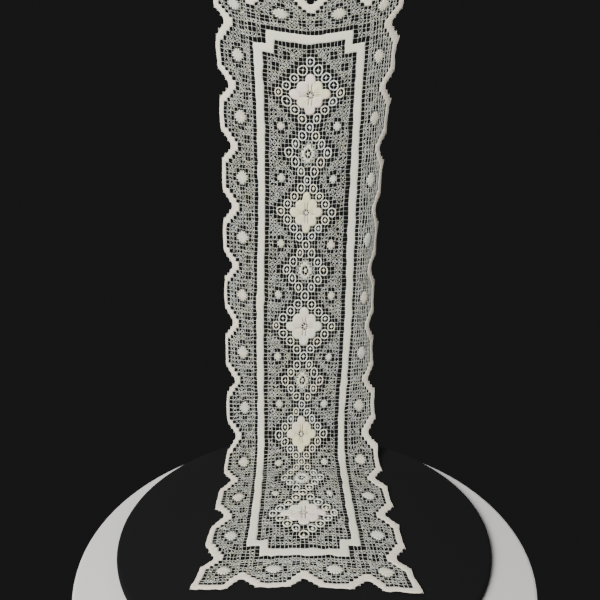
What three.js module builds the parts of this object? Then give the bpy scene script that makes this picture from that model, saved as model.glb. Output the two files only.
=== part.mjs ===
// Filet lace table runner, hung by its top edge, with its lower end swept forward and lying flat.
//
// The runner is one net, darned all over, so it is one closed sheet. Places on it are counted in the
// meshes of the net: cells across from the middle line (+ to the right) and rows along from the middle
// flower (+ towards the lying end). The scalloped outline, the sag between the two top corners, the
// drawn-in waist, the long forward lean, the bend onto the table and the rolled-back side borders are all
// worked out from the sizes below. Millimetres and degrees, +Z up, +X to the viewer's right, -Y towards
// the viewer. The origin is the middle of the top edge, where the runner hangs.
import * as THREE from 'three';

// ---- driving dimensions ----------------------------------------------------------------------------
const THICKNESS = 2;             // knotted net with darning and loops on it
const PANEL_CELLS = 14;          // cells from the middle line to the outside of the solid frame band
const PANEL_ROWS = 70;           // rows from the middle flower to the outside of the frame band
const BORDER_CELLS = 12;         // cells in the border, from the frame band to a scallop's crest
const SCALLOP_CELLS = 14;        // cells or rows from one scallop valley to the next
const END_BORDER_FACTOR = 0.8;   // the end borders' rows are lower than the panel's

const LEAN_ANGLE = 7;            // forward lean of the hanging part, from upright, where the bend starts
const BEND_FIRST_ROW = 21.4;     // row where the sheet starts to bend forward
const BEND_LAST_ROW = 41.3;      // row from which it lies flat
const LYING_ANGLE = 90;
const TOP_ROW = -82;             // crest row of the top scallops, where the lean starts
const SAG_CORE_CELLS = 3.2;      // rounding of the V in which the rows hang between the top corners
const SAG_AT_CELL = 19;          // cell at which the stations' lift is reached

// Height of the scalloped edge above the frame band, in cells, by distance from the scallop's middle.
const SCALLOP_PROFILE = [
  { fromMiddle: 0, height: 12 },
  { fromMiddle: 4, height: 12 },
  { fromMiddle: 6, height: 9.6 },
  { fromMiddle: 7, height: 9 },
];

// How the cloth is stretched at seven stations, one pattern repeat apart. rowHeight, panelCell, leftCell
// and rightCell are mesh sizes; lift raises the rows at SAG_AT_CELL; slant raises a row per cell to the
// left; drift moves the middle line sideways; leftRoll and rightRoll turn the border's edge backwards.
const STATION_FIRST_ROW = -84;
const STATION_STEP = 28;
const STATIONS = [
  { rowHeight: 6.4, panelCell: 6.7, leftCell: 5.0, rightCell: 5.1, lift: 20.0, slant: 0.09, drift: 0, leftRoll: 0, rightRoll: 10 },
  { rowHeight: 6.45, panelCell: 6.1, leftCell: 5.1, rightCell: 4.53, lift: 12.6, slant: 0.10, drift: -1, leftRoll: 14, rightRoll: 32 },
  { rowHeight: 7.0, panelCell: 5.83, leftCell: 5.17, rightCell: 3.93, lift: 5.9, slant: 0.17, drift: -4.65, leftRoll: 14, rightRoll: 46 },
  { rowHeight: 7.0, panelCell: 5.86, leftCell: 4.93, rightCell: 3.83, lift: 1.9, slant: 0.15, drift: -11.25, leftRoll: 27, rightRoll: 45 },
  { rowHeight: 6.95, panelCell: 5.48, leftCell: 4.6, rightCell: 5.03, lift: -0.8, slant: -0.10, drift: -17.45, leftRoll: 0, rightRoll: 11 },
  { rowHeight: 6.9, panelCell: 5.63, leftCell: 4.92, rightCell: 5.36, lift: -6.5, slant: 0.00, drift: -14.9, leftRoll: 0, rightRoll: 0 },
  { rowHeight: 6.7, panelCell: 6.0, leftCell: 5.2, rightCell: 5.3, lift: -5.5, slant: 0.20, drift: -13.6, leftRoll: 0, rightRoll: 0 },
];

const COTTON = new THREE.MeshStandardMaterial({ color: 0xd6d2c6, roughness: 0.9, metalness: 0 });

// ---- the cloth's own coordinates ---------------------------------------------------------------------
const degrees = THREE.MathUtils.degToRad;
const smooth = (t) => THREE.MathUtils.smoothstep(t, 0, 1);

/** A station value at a row: a Catmull-Rom curve through the column of that name. */
function station(name, row) {
  const last = STATIONS.length - 1;
  const place = (row - STATION_FIRST_ROW) / STATION_STEP;
  const k = Math.min(Math.max(Math.floor(place), 0), last - 1);
  const t = place - k;
  const value = (i) => STATIONS[i][name];
  const slope = (i) => {
    if (i === 0) return value(1) - value(0);
    if (i === last) return value(last) - value(last - 1);
    return (value(i + 1) - value(i - 1)) / 2;
  };
  return (2 * t ** 3 - 3 * t ** 2 + 1) * value(k) + (t ** 3 - 2 * t ** 2 + t) * slope(k)
    + (3 * t ** 2 - 2 * t ** 3) * value(k + 1) + (t ** 3 - t ** 2) * slope(k + 1);
}

/** Angle of the middle line from upright at a row: a slow lean, then the bend to lying flat. */
function tilt(row) {
  const lean = LEAN_ANGLE * smooth((row - TOP_ROW) / (BEND_FIRST_ROW - TOP_ROW));
  const bend = smooth((row - BEND_FIRST_ROW) / (BEND_LAST_ROW - BEND_FIRST_ROW));
  return degrees(lean + (LYING_ANGLE - LEAN_ANGLE) * bend);
}

/** The middle line as a fine polyline: distance along the cloth, y and z at every PATH_STEP rows. */
const PATH_FIRST_ROW = -95;
const PATH_LAST_ROW = 95;
const PATH_STEP = 0.25;
const rowPitch = (row) => station('rowHeight', row) * (Math.abs(row) > PANEL_ROWS ? END_BORDER_FACTOR : 1);

function middleLine() {
  const path = [{ along: 0, y: 0, z: 0, tilt: tilt(PATH_FIRST_ROW) }];
  const steps = Math.round((PATH_LAST_ROW - PATH_FIRST_ROW) / PATH_STEP);
  for (let i = 1; i <= steps; i++) {
    const row = PATH_FIRST_ROW + i * PATH_STEP;
    const before = path[i - 1];
    const angle = (tilt(row) + tilt(row - PATH_STEP)) / 2;
    const length = ((rowPitch(row) + rowPitch(row - PATH_STEP)) / 2) * PATH_STEP;
    const fall = angle < degrees(LYING_ANGLE) ? Math.cos(angle) * length : 0;
    path.push({ along: before.along + length, y: before.y - Math.sin(angle) * length, z: before.z - fall, tilt: tilt(row) });
  }
  return path;
}
const PATH = middleLine();

/** Distance along the cloth at a row, read from the evenly stepped path. */
function alongAtRow(row) {
  const place = (row - PATH_FIRST_ROW) / PATH_STEP;
  const i = Math.min(Math.floor(place), PATH.length - 2);
  return THREE.MathUtils.lerp(PATH[i].along, PATH[i + 1].along, place - i);
}

/** The path's y, z and tilt at a distance along the cloth. */
function pathAt(along) {
  let low = 0;
  let high = PATH.length - 1;
  while (high - low > 1) {
    const mid = (low + high) >> 1;
    if (PATH[mid].along <= along) low = mid;
    else high = mid;
  }
  const [a, b] = [PATH[low], PATH[high]];
  const t = (along - a.along) / (b.along - a.along);
  const mix = (name) => THREE.MathUtils.lerp(a[name], b[name], t);
  return { y: mix('y'), z: mix('z'), tilt: mix('tilt') };
}

/** V-shaped rise of a row towards the sides, 0 in the middle and 1 at SAG_AT_CELL. */
const vRise = (cell) => Math.hypot(cell, SAG_CORE_CELLS) - SAG_CORE_CELLS;

/** A point of the sheet's middle surface, before the origin is moved to the top edge. */
function middleSurface(cell, row) {
  const side = Math.sign(cell);
  const panel = Math.min(Math.abs(cell), PANEL_CELLS);
  const border = Math.max(Math.abs(cell) - PANEL_CELLS, 0);
  const borderCell = station(side < 0 ? 'leftCell' : 'rightCell', row);
  const roll = Math.max(degrees(station(side < 0 ? 'leftRoll' : 'rightRoll', row)), 1e-3);
  const turned = (roll * border) / BORDER_CELLS;
  const radius = (BORDER_CELLS * borderCell) / roll;

  const lifted = station('lift', row) * (vRise(cell) / vRise(SAG_AT_CELL)) - station('slant', row) * cell;
  const place = pathAt(alongAtRow(row) - lifted);
  const out = panel * station('panelCell', row) + radius * Math.sin(turned);
  const back = radius * (1 - Math.cos(turned)) * Math.max(Math.cos(place.tilt), 0);
  return new THREE.Vector3(side * out + station('drift', row), place.y + back, place.z);
}

/** Unit normal of the middle surface, pointing to the back, or down where the sheet lies. */
function backNormal(cell, row) {
  const step = 0.05;
  const across = middleSurface(cell + step, row).sub(middleSurface(cell - step, row));
  const down = middleSurface(cell, row + step).sub(middleSurface(cell, row - step));
  return across.cross(down).normalize();
}

// ---- the scalloped outline ---------------------------------------------------------------------------

/** Height of the scalloped edge above the frame band, in cells, at a cell or row along that edge. */
function scallopHeight(alongEdge, bandHalf) {
  const beyond = Math.abs(alongEdge) - bandHalf;
  const phase = ((alongEdge % SCALLOP_CELLS) + SCALLOP_CELLS) % SCALLOP_CELLS;
  const inScallop = Math.abs(phase - SCALLOP_CELLS / 2);
  const fromMiddle = beyond > 0 ? Math.max(SCALLOP_CELLS / 2 - beyond, 0) : inScallop;
  const k = SCALLOP_PROFILE.findIndex((p) => p.fromMiddle >= fromMiddle);
  if (k <= 0) return SCALLOP_PROFILE[0].height;
  const [a, b] = [SCALLOP_PROFILE[k - 1], SCALLOP_PROFILE[k]];
  return THREE.MathUtils.mapLinear(fromMiddle, a.fromMiddle, b.fromMiddle, a.height, b.height);
}

/** Grid lines from the middle out to a crest: those of each scallop, then those of the corner. */
function gridLines(bandHalf, scallopLines) {
  const lines = [];
  for (let valley = 0; valley < bandHalf; valley += SCALLOP_CELLS) {
    for (const line of scallopLines(valley)) lines.push(valley + line);
  }
  for (const line of CORNER_LINES) lines.push(bandHalf + line);
  return [...lines.slice(1).reverse().map((line) => -line), ...lines];
}
const CORNER_LINES = [0, 1, 3, 6, 9, BORDER_CELLS];
const STRAIGHT_LINES = [0, 1, 3, 7, 11, 13];
const BENT_LINES = [0, 1, 3, 5, 7, 9, 11, 13];
const BENT_TO_ROW = 42;

// ---- the closed sheet --------------------------------------------------------------------------------

/** Front and back copies of the grid, half a thickness off the middle surface, joined round the rim. */
function sheetGeometry() {
  const cells = gridLines(PANEL_CELLS, () => STRAIGHT_LINES);
  const rows = gridLines(PANEL_ROWS, (valley) => (valley <= BENT_TO_ROW ? BENT_LINES : STRAIGHT_LINES));
  const top = middleSurface(0, -(PANEL_ROWS + scallopHeight(0, PANEL_CELLS)));
  const positions = [];
  for (const sideOfSheet of [-0.5, 0.5]) {
    for (const r of rows) {
      for (const c of cells) {
        const cellOut = Math.max(Math.abs(c) - PANEL_CELLS, 0) / BORDER_CELLS;
        const rowOut = Math.max(Math.abs(r) - PANEL_ROWS, 0) / BORDER_CELLS;
        const cell = Math.sign(c) * (Math.min(Math.abs(c), PANEL_CELLS) + cellOut * scallopHeight(r, PANEL_ROWS));
        const row = Math.sign(r) * (Math.min(Math.abs(r), PANEL_ROWS) + rowOut * scallopHeight(c, PANEL_CELLS));
        const point = middleSurface(cell, row).sub(top);
        point.addScaledVector(backNormal(cell, row), sideOfSheet * THICKNESS);
        positions.push(point.x, point.y, point.z);
      }
    }
  }
  const across = cells.length;
  const down = rows.length;
  const vertex = (layer, i, j) => layer * across * down + j * across + i;
  const index = [];
  const quad = (a, b, c, d) => index.push(a, b, c, a, c, d);
  for (let j = 0; j < down - 1; j++) {
    for (let i = 0; i < across - 1; i++) {
      quad(vertex(0, i, j), vertex(0, i, j + 1), vertex(0, i + 1, j + 1), vertex(0, i + 1, j));
      quad(vertex(1, i, j), vertex(1, i + 1, j), vertex(1, i + 1, j + 1), vertex(1, i, j + 1));
    }
  }
  for (let i = 0; i < across - 1; i++) {
    quad(vertex(0, i, 0), vertex(0, i + 1, 0), vertex(1, i + 1, 0), vertex(1, i, 0));
    quad(vertex(0, i + 1, down - 1), vertex(0, i, down - 1), vertex(1, i, down - 1), vertex(1, i + 1, down - 1));
  }
  for (let j = 0; j < down - 1; j++) {
    quad(vertex(0, 0, j + 1), vertex(0, 0, j), vertex(1, 0, j), vertex(1, 0, j + 1));
    quad(vertex(0, across - 1, j), vertex(0, across - 1, j + 1), vertex(1, across - 1, j + 1), vertex(1, across - 1, j));
  }
  const geometry = new THREE.BufferGeometry();
  geometry.setAttribute('position', new THREE.Float32BufferAttribute(positions, 3));
  geometry.setIndex(index);
  geometry.computeVertexNormals();
  return geometry;
}

const group = new THREE.Group();
const runner = new THREE.Mesh(sheetGeometry(), COTTON);
runner.name = 'lace_runner';
group.add(runner);

export default group;
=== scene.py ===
"""The looks of a hand-knotted filet lace table runner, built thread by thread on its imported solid.

Every place on the runner is counted in meshes of its net: cell is the count across from the middle line, + to
the viewer's right, and row is the count along from the middle flower, + towards the lying end. Shapes are
worked out in these counts and then laid on the cloth's surface, in metres.
"""

import math

import bpy
import numpy as np
from bpy.props import FloatProperty, FloatVectorProperty, PointerProperty
from bpy.types import Operator, Panel, PropertyGroup
from mathutils import Matrix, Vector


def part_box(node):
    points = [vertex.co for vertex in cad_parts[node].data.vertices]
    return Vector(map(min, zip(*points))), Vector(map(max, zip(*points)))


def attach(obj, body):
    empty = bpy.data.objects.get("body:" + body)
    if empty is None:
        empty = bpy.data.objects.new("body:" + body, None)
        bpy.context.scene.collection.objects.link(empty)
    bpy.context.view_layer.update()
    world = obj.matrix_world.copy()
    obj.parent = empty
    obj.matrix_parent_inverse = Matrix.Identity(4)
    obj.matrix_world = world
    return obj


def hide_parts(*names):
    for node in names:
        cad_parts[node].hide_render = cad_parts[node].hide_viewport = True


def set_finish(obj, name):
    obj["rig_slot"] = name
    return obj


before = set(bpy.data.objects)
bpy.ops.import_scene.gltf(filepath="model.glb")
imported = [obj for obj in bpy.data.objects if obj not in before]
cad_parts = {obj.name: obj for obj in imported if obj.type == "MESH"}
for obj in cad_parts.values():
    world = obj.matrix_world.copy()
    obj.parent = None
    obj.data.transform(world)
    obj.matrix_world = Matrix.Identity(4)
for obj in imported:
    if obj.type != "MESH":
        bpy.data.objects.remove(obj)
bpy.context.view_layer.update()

bl_info = {
    "name": "Filet Lace Runner",
    "version": (1, 0, 0),
    "blender": (4, 5, 0),
    "location": "3D View > Sidebar > Lace",
    "description": "Builds a darned filet net with its wheels, flowers, stars and scalloped edge",
    "category": "Add Mesh",
}

NODE = "lace_runner"
SLOT = "cotton_thread"
BODY = "root"
MM = 0.001

# ---- the runner as it hangs: the same sizes as the solid's ----

HALF_CELLS = 26
HALF_ROWS = 82
PANEL_CELLS = 14
PANEL_ROWS = 70
BORDER_CELLS = 12
SCALLOP = 14  # cells from valley to valley of the edge
REPEAT = 28  # rows from flower to flower
END_BORDER_FACTOR = 0.8
LEAN_ANGLE = 7
LYING_ANGLE = 90
BEND_ROWS = (21.4, 41.3)
TOP_ROW = -82
TOP_VALLEY_ROW = -79
SAG_CORE_CELLS = 3.2
SAG_AT_CELL = 19  # where the sag has lifted a row by its station's lift
LINE_REACH = 95  # rows that the middle line is worked out for, each way from the middle
LINE_PARTS = 4  # its points a row

# How the cloth is stretched at seven stations, one pattern repeat apart, from the top to the lying end:
# heights, widths, lift and drift in millimetres, slant in millimetres a cell, and rolls in degrees.
STATION_FIRST_ROW = -84
STATIONS = {
    "row_height": (6.4, 6.45, 7.0, 7.0, 6.95, 6.9, 6.7),
    "panel_cell": (6.7, 6.1, 5.83, 5.86, 5.48, 5.63, 6.0),
    "left_cell": (5.0, 5.1, 5.17, 4.93, 4.6, 4.92, 5.2),
    "right_cell": (5.1, 4.53, 3.93, 3.83, 5.03, 5.36, 5.3),
    "lift": (20.0, 12.6, 5.9, 1.9, -0.8, -6.5, -5.5),
    "slant": (0.09, 0.10, 0.17, 0.15, -0.10, 0.0, 0.20),
    "drift": (0, -1, -4.65, -11.25, -17.45, -14.9, -13.6),
    "left_roll": (0, 14, 14, 27, 0, 0, 0),
    "right_roll": (10, 32, 46, 45, 11, 0, 0),
}
# Four things that the solid leaves out: bow, the cells by which the panel's middle is drawn to the right
# between the bands; pinch, the share by which the middle meshes are narrower and the outer ones wider
# instead; ease, the cells by which the middle of the right border is drawn outwards; and slim, those by which
# the left edge is narrower.
STATIONS["bow"] = (0.35, 0.36, -0.22, 0.15, 0.12, 0.17, 0.0)
STATIONS["pinch"] = (0, 0, 0.13, 0, 0.155, -0.04, 0)
STATIONS["ease"] = (0, 0.4, 1.3, 0.7, 0.3, 0, 0)
STATIONS["slim"] = (0.3, 0.38, 0.45, 0.7, 0.65, 0, 0)
EASE_REACH = 9.6  # cells of the border that the ease moves


def smooth(t):
    """3t^2 - 2t^3 with t held between 0 and 1."""
    t = np.clip(t, 0, 1)
    return t * t * (3 - 2 * t)


def station(name, row):
    """A station column at a row: the Catmull-Rom curve through its seven values."""
    values = np.asarray(STATIONS[name], float)
    slopes = np.gradient(values)
    place = (np.asarray(row, float) - STATION_FIRST_ROW) / REPEAT
    k = np.clip(np.floor(place).astype(int), 0, len(values) - 2)
    t = place - k
    return (
        (2 * t**3 - 3 * t**2 + 1) * values[k]
        + (t**3 - 2 * t**2 + t) * slopes[k]
        + (3 * t**2 - 2 * t**3) * values[k + 1]
        + (t**3 - t**2) * slopes[k + 1]
    )


def lying(row):
    """0 where the cloth hangs, rising to 1 where it lies."""
    return smooth((row - BEND_ROWS[0]) / (BEND_ROWS[1] - BEND_ROWS[0]))


def rolled(cell, row):
    """0 in the panel, rising across the right border to 1 at a roll of 45 degrees."""
    return np.clip(station("right_roll", row) / 45, 0, 1) * smooth((cell - PANEL_CELLS) / 6)


def middle_line():
    """The middle line, rolled out in parts of rows: running sums of row height times the sine and cosine of
    the tilt, which leans slowly, then bends from hanging to lying flat."""
    rows = np.linspace(-LINE_REACH, LINE_REACH, 2 * LINE_REACH * LINE_PARTS + 1)
    lean = LEAN_ANGLE * smooth((rows - TOP_ROW) / (BEND_ROWS[0] - TOP_ROW))
    tilt = np.radians(lean + (LYING_ANGLE - LEAN_ANGLE) * lying(rows))
    pitch = station("row_height", rows) * np.where(np.abs(rows) > PANEL_ROWS, END_BORDER_FACTOR, 1)
    length = (pitch[1:] + pitch[:-1]) / 2 * np.diff(rows)
    angle = (tilt[1:] + tilt[:-1]) / 2
    steps = (length, -np.sin(angle) * length, -np.cos(angle) * length)
    along, y, z = (np.concatenate([[0], np.cumsum(step)]) for step in steps)
    return rows, along, y, z, tilt


LINE_ROWS, LINE_ALONG, LINE_Y, LINE_Z, LINE_TILT = middle_line()


def rise(cell):
    """V shape with a rounded point: the root of cell^2 + core^2, less the core."""
    return np.hypot(cell, SAG_CORE_CELLS) - SAG_CORE_CELLS


def middle_surface(cell, row):
    """The solid's middle surface in millimetres: the row is read off the middle line after the sag has lifted
    it, the cells are stepped off sideways, and the border turns back on an arc."""
    left = cell < 0
    panel = np.minimum(np.abs(cell), PANEL_CELLS)
    border = np.maximum(np.abs(cell) - PANEL_CELLS, 0)
    border_cell = np.where(left, station("left_cell", row), station("right_cell", row))
    roll = np.radians(np.where(left, station("left_roll", row), station("right_roll", row)))
    roll = np.maximum(roll, 1e-3)
    turned = roll * border / BORDER_CELLS
    radius = BORDER_CELLS * border_cell / roll
    lifted = station("lift", row) * rise(cell) / rise(SAG_AT_CELL) - station("slant", row) * cell
    along = np.interp(row, LINE_ROWS, LINE_ALONG) - lifted
    tilt = np.interp(along, LINE_ALONG, LINE_TILT)
    out = panel * station("panel_cell", row) + radius * np.sin(turned)
    back = radius * (1 - np.cos(turned)) * np.maximum(np.cos(tilt), 0)
    x = np.sign(cell) * out + station("drift", row)
    y = np.interp(along, LINE_ALONG, LINE_Y) + back
    z = np.interp(along, LINE_ALONG, LINE_Z)
    return np.stack([x, y, z], axis=-1)


TOP_POINT = middle_surface(np.array(0.0), np.array(float(TOP_VALLEY_ROW)))

# ---- unevenness of the hand-knotted net ----

KNOT_JITTER = 0.075  # spread of a knot's place, in cells
FOLLOWING = 0.35  # share of its four neighbours' offsets that a knot follows
LOOSER_IN_FILLING = 2.2  # times the usual jitter
LOOSER_LYING = 0.7  # more jitter along the rows that lie, as a share
BREATHE_CELLS = 0.035  # the net is this share wider at a flower and narrower at a star medallion
BREATHE_ROWS = 0.29  # rows by which the meshes crowd towards a flower
BREATHE_REACH = (6, 12)  # cells from the middle between which that fades
BREATHE_ROW_REACH = (60, 68)  # and rows
BUCKLE = 0.7  # millimetres that the hanging cloth stands in and out
LYING_BUCKLE = 0.2
LYING_LIFT = 0.35  # millimetres by which the lying threads are raised, so that the thickest rest on the table
RIM_PULL = 0.6  # cells by which the oversewn rim is drawn in
CORNER_PULL = 1.2  # cells by which the tips of the corners are drawn out sideways
BAND_SPREAD = 0.24  # cells by which the first meshes beside the frame band are wider, as the band draws in
SPREAD_FADE = 4  # cells over which the meshes after them are narrower instead
LEFT_CREST = 0.3  # cells by which a left scallop's crest bulges in its middle
RIGHT_CREST = -0.3  # and a right one's
RIGHT_TIPS = (0.45, 0.25)  # cells by which the upper and lower ends of a right crest are drawn out to points


def wander(cell, row):
    """The place a point of the perfect net has in the real one. It takes the jitter of the four nearest
    knots, blended linearly. Rows are drawn towards each flower by a sine of the repeat, and the meshes there
    are wider by its cosine, less the pinch. The bow falls with the square of the cell across the panel, the
    ease is half a sine across the right border, and the frame band spreads what lies beside it."""
    i = np.clip(np.floor(cell).astype(int) + HALF_CELLS + 2, 0, 2 * HALF_CELLS + 3)
    j = np.clip(np.floor(row).astype(int) + HALF_ROWS + 2, 0, 2 * HALF_ROWS + 3)
    a = (cell + HALF_CELLS + 2 - i)[..., None]
    b = (row + HALF_ROWS + 2 - j)[..., None]
    step = (JITTER[i, j] * (1 - a) + JITTER[i + 1, j] * a) * (1 - b)
    step = step + (JITTER[i, j + 1] * (1 - a) + JITTER[i + 1, j + 1] * a) * b
    phase = 2 * math.pi * row / REPEAT
    inside = np.ones(cell.shape)
    for count, (near_end, far_end) in ((cell, BREATHE_REACH), (row, BREATHE_ROW_REACH)):
        inside = inside * (1 - smooth((np.abs(count) - near_end) / (far_end - near_end)))
    new_cell = cell + step[..., 0] + (BREATHE_CELLS * np.cos(phase) - station("pinch", row)) * cell * inside
    new_row = row + step[..., 1] - BREATHE_ROWS * np.sin(phase) * inside
    new_cell = new_cell + station("bow", row) * (1 - np.minimum(np.abs(cell) / PANEL_CELLS, 1) ** 2)
    eased_part = np.clip((cell - PANEL_CELLS) / EASE_REACH, 0, 1)
    new_cell = new_cell + station("ease", row) * np.sin(np.pi * eased_part)
    return new_cell + spread_beside(cell, PANEL_CELLS), new_row + spread_beside(row, PANEL_ROWS)


def spread_beside(count, band_outside):
    """Shift away from the frame band, two meshes wide: nothing at the band, BAND_SPREAD one mesh away on
    either side, fading again over the next SPREAD_FADE meshes."""
    away = np.abs(count) - band_outside
    outer = smooth(away) * (1 - smooth((away - 1.2) / SPREAD_FADE))
    inner = smooth(-2 - away) * (1 - smooth((-3.2 - away) / SPREAD_FADE))
    return np.sign(count) * BAND_SPREAD * (outer - inner)


def buckle(cell, row):
    """Slow in-and-out waves of the cloth, in millimetres: two crossed sines, strong where it hangs."""
    wave = 0.6 * np.sin(0.31 * cell + 0.23 * row + 0.8) + 0.4 * np.sin(0.47 * cell - 0.37 * row)
    hanging = 1 - smooth((row - BEND_ROWS[0] + 6) / 20)
    return wave * (LYING_BUCKLE + (BUCKLE - LYING_BUCKLE) * hanging) + LYING_LIFT * (1 - hanging)


def along_scallop(value, band_half):
    """Distance from the middle of the nearest scallop along its edge. Past the band's corner it falls to 0,
    so the last scallop's crest runs on to the corner."""
    beyond = np.abs(value) - band_half
    inside = np.abs(np.mod(value, SCALLOP) - SCALLOP / 2)
    return np.where(beyond > 0, np.maximum(SCALLOP / 2 - beyond, 0), inside)


def soft_crest(from_middle):
    """Height of the rim: 12 on the crest, falling evenly to 9 in the valleys."""
    return 12 - 3 * np.clip((from_middle - 3.5) / 3, 0, 1)


def tightened(cell, row):
    """Draws the rim's last two cells inwards, because the oversewing pulls them tight: the shift grows
    smoothly from nothing two cells inside the scalloped outline to RIM_PULL cells on it. The tips of the
    corners are drawn out sideways, by the product of two smooth steps, one for each way. On the left the
    inside of the solid edge is drawn out too, by a bell of the depth inside the outline."""
    out_side = np.abs(cell) - PANEL_CELLS
    out_end = np.abs(row) - PANEL_ROWS
    crest_side = soft_crest(along_scallop(row, PANEL_ROWS))
    crest_end = soft_crest(along_scallop(cell, PANEL_CELLS))
    side = RIM_PULL * smooth((out_side - crest_side + 2) / 2)
    end = RIM_PULL * smooth((out_end - crest_end + 2) / 2)
    tip = CORNER_PULL * smooth((out_side - 5) / 7) * smooth((out_end - 5) / 7)
    tip = tip + crest_shape(cell, row) * smooth((out_side - 8) / 4) * (out_end < 0)
    depth = crest_side - out_side
    bell = smooth(depth / 2) * (1 - smooth((depth - 2) / 3)) * smooth(-out_end / 4)
    tip = tip + (cell < 0) * station("slim", row) * bell
    return cell - np.sign(cell) * (side - tip), row - np.sign(row) * end


def crest_shape(cell, row):
    """Cells by which a side scallop's crest is drawn out: a bulge that falls with the square of the distance
    from the scallop's middle on the left, and on the right a dip between two bell-shaped points."""
    along = np.mod(row, SCALLOP) - SCALLOP / 2
    hump = np.maximum(1 - (along / 4.5) ** 2, 0)
    upper, lower = np.exp(-((along + 3.6) ** 2)), np.exp(-((along - 3.6) ** 2))
    right = RIGHT_CREST * hump + RIGHT_TIPS[0] * upper + RIGHT_TIPS[1] * lower
    return np.where(cell < 0, LEFT_CREST * hump, right)


def place(cell, row, lift):
    """Points of the cloth in metres and its front normals. lift is the height off the middle surface in
    millimetres, towards the viewer, or upwards where the cloth lies."""
    cell, row = tightened(np.asarray(cell, float), np.asarray(row, float))
    cell, row = wander(cell, row)
    step = 0.05
    point = middle_surface(cell, row)
    across = middle_surface(cell + step, row) - middle_surface(cell - step, row)
    down = middle_surface(cell, row + step) - middle_surface(cell, row - step)
    normal = np.cross(down, across)
    normal = normal / np.linalg.norm(normal, axis=-1, keepdims=True)
    lift = np.asarray(lift, float) + buckle(cell, row)
    return (point - TOP_POINT + normal * lift[..., None]) * MM, normal


# ---- the pattern, counted in meshes ----

FLOWER_ROWS = (-56, -28, 0, 28, 56)
MEDALLION_ROWS = (-42, -14, 14, 42)
FLOWER_REACH = 8  # cells from a flower's middle to the wheels round it
MEDALLION_REACH = 6
LATTICE_WIDTH = 3  # open meshes outside the wheels
NOTCH = 3  # side of the square step in each corner of the frame band
SMALL_STARS = [(side * 8, row) for side in (-1, 1) for row in (-48, -36, -20, -8, 8, 20, 36, 48)]
SIDE_STARS = [(side * 19, row) for side in (-1, 1) for row in range(-63, 64, SCALLOP)]
CORNER_STARS = [(side * 19, end * 75) for side in (-1, 1) for end in (-1, 1)]
END_STARS = [(side * 7, end * 75) for side in (-1, 1) for end in (-1, 1)]
BORDER_STARS = SIDE_STARS + CORNER_STARS + END_STARS
WHEEL_STEPS_FLOWER = ((0, 8), (2, 6), (4, 4), (6, 2), (8, 0))
WHEEL_STEPS_MEDALLION = ((2, 4), (4, 2), (6, 0))


def four_ways(centre_row, steps):
    """The set of places at the given steps from (0, centre_row), mirrored left, right, up and down."""
    return {(sx * a, centre_row + sy * b) for a, b in steps for sx in (-1, 1) for sy in (-1, 1)}


def wheel_places():
    """Middle knots of all the wheels, in order of row and cell."""
    motifs = ((FLOWER_ROWS, WHEEL_STEPS_FLOWER), (MEDALLION_ROWS, WHEEL_STEPS_MEDALLION))
    found = set().union(*(four_ways(row, steps) for rows, steps in motifs for row in rows))
    return sorted(found, key=lambda knot: knot[::-1])


def mesh_middles():
    """Middles of the meshes across and along the net."""
    return [np.arange(2 * half) - half + 0.5 for half in (HALF_CELLS, HALF_ROWS)]


def crest_height(from_middle):
    """Last mesh of the scallop, counted out from the frame band: 12 on the crest, then a step down each
    row."""
    return np.where(from_middle < 4, 12, 12 - np.floor(from_middle - 3))


def opening_height(from_middle):
    """Mesh of the open line inside the scallop's edge, counted out from the frame band."""
    return np.where(from_middle < 3, 10, 10 - np.floor(from_middle - 2))


def near(cell, row, middle, offsets):
    """True at the meshes whose middles are at the mirrored offsets from a knot."""
    across = np.abs(cell - middle[0])
    along = np.abs(row - middle[1])
    found = np.zeros(cell.shape, bool)
    for a, b in offsets:
        found |= (across == a) & (along == b)
    return found


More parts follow.
